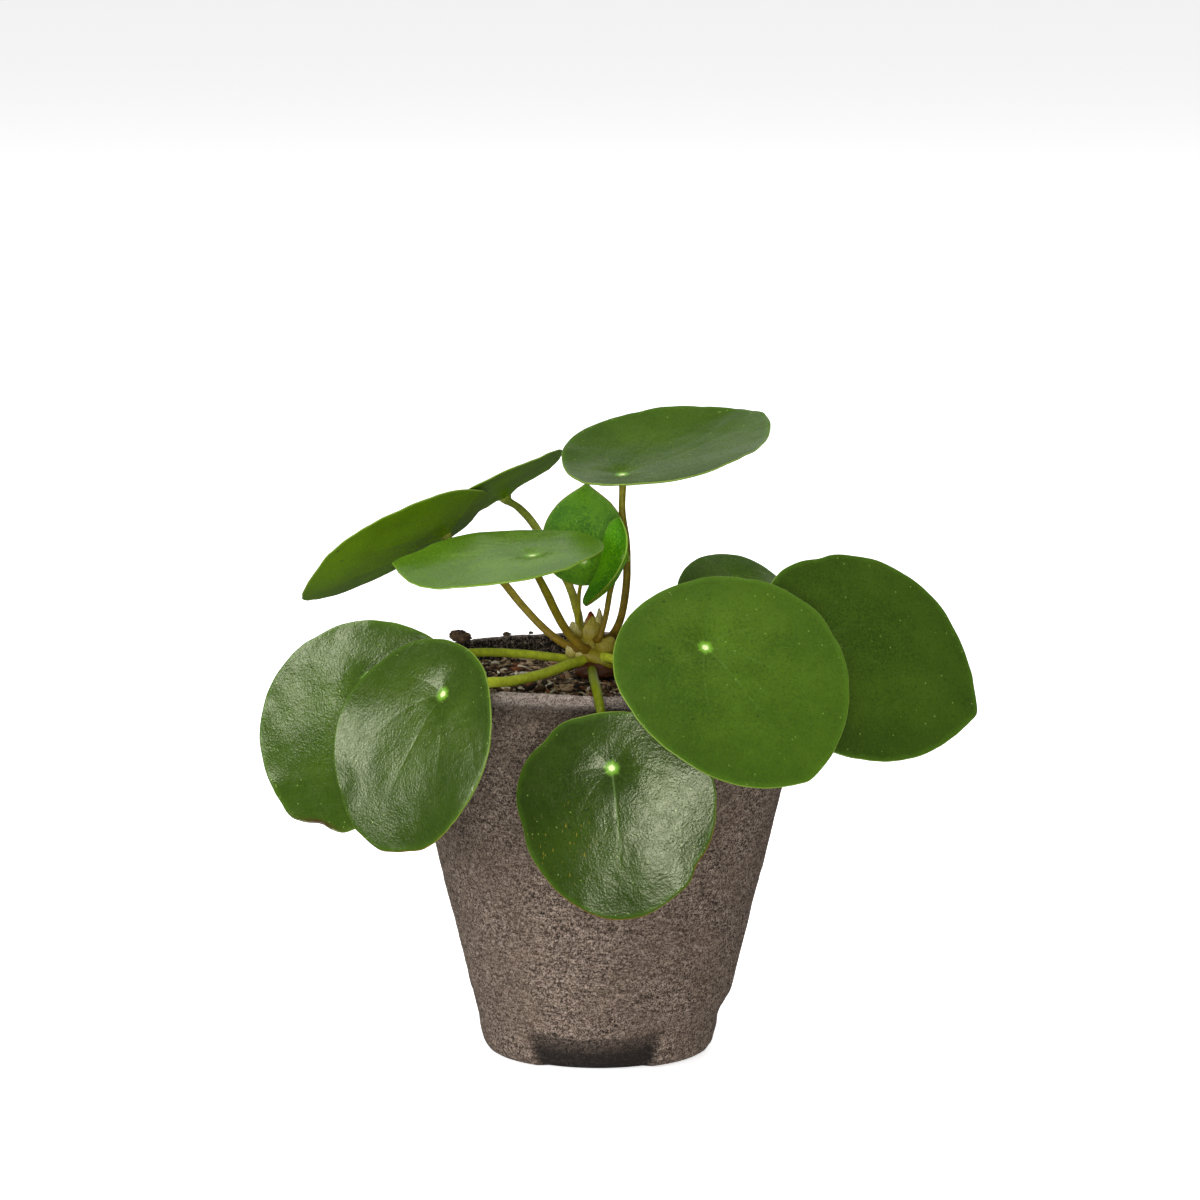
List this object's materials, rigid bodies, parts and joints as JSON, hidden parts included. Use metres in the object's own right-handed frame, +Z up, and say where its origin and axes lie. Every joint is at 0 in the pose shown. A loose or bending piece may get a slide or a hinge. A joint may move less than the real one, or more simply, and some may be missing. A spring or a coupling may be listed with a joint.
{
  "type": "potted pilea plant",
  "caption": "Young pilea with round coin-shaped leaves on long stalks, growing in a round pot of moulded plant fibre.",
  "frame": {"origin": "middle of the pot's flat base, on the surface that the pot stands on", "axes": "+Z up; -Y towards the plant's front, the side where the low front leaf hangs over the rim; +X to the right as seen from the front"},
  "size_m": [0.1974, 0.1702, 0.178],
  "materials": {
    "fibre": "matte, speckled",
    "potting_mix": "matte, crumbly",
    "crown": "papery",
    "leaf": "satin",
    "young_leaf": "satin",
    "stalk": "satin"
  },
  "bodies": {
    "root": {"pot": "fibre", "soil": "potting_mix", "rim_crumb": "potting_mix", "crown": "crown", "leaf_01_top_blade": "leaf", "leaf_01_top_stalk": "stalk", "leaf_02_back_left_blade": "leaf", "leaf_02_back_left_stalk": "stalk", "leaf_03_upper_left_blade": "leaf", "leaf_03_upper_left_stalk": "stalk", "leaf_04_middle_left_blade": "leaf", "leaf_04_middle_left_stalk": "stalk", "leaf_05_young_upright_blade": "young_leaf", "leaf_05_young_upright_stalk": "stalk", "leaf_06_young_folded_blade": "young_leaf", "leaf_06_young_folded_stalk": "stalk", "leaf_07_right_front_blade": "leaf", "leaf_07_right_front_stalk": "stalk", "leaf_08_far_right_blade": "leaf", "leaf_08_far_right_stalk": "stalk", "leaf_09_back_right_blade": "leaf", "leaf_09_back_right_stalk": "stalk", "leaf_10_left_outer_blade": "leaf", "leaf_10_left_outer_stalk": "stalk", "leaf_11_left_inner_blade": "leaf", "leaf_11_left_inner_stalk": "stalk", "leaf_12_front_blade": "leaf", "leaf_12_front_stalk": "stalk"}
  },
  "joints": []
}
